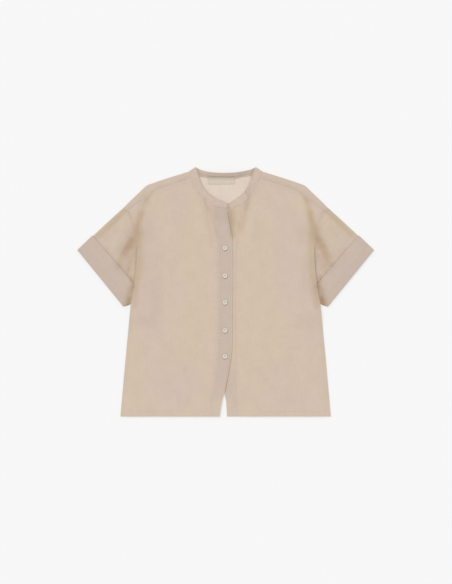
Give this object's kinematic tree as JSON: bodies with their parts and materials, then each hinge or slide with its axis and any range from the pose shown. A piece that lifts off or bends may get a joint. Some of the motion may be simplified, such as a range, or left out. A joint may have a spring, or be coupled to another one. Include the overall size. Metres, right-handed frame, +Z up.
{
  "type": "band-collar button-front blouse",
  "caption": "Boxy woven blouse laid flat, with a standing band collar, a button front, dropped shoulders and short sleeves with wide turned-back cuffs.",
  "frame": {"origin": "on the surface the blouse lies on, under the middle of the garment", "axes": "+X towards the wearer's left, +Y from the hem to the neck, +Z up off the surface, out of the blouse's front"},
  "size_m": [0.7368, 0.6235, 0.0138],
  "materials": {
    "cloth": "sheer plain-weave linen, matt",
    "doubled_cloth": "the same linen in several plies, matt",
    "label": "smooth woven tape, blank",
    "button": "pearly cream, satin gloss"
  },
  "bodies": {
    "root": {"back": "cloth", "front_right": "cloth", "front_left": "cloth", "placket_right": "doubled_cloth", "placket_left": "doubled_cloth", "sleeve_right": "cloth", "sleeve_left": "cloth", "cuff_right": "doubled_cloth", "cuff_left": "doubled_cloth", "collar_band": "doubled_cloth", "neck_label": "label", "button_1": "button", "button_2": "button", "button_3": "button", "button_4": "button", "button_5": "button"}
  },
  "joints": []
}
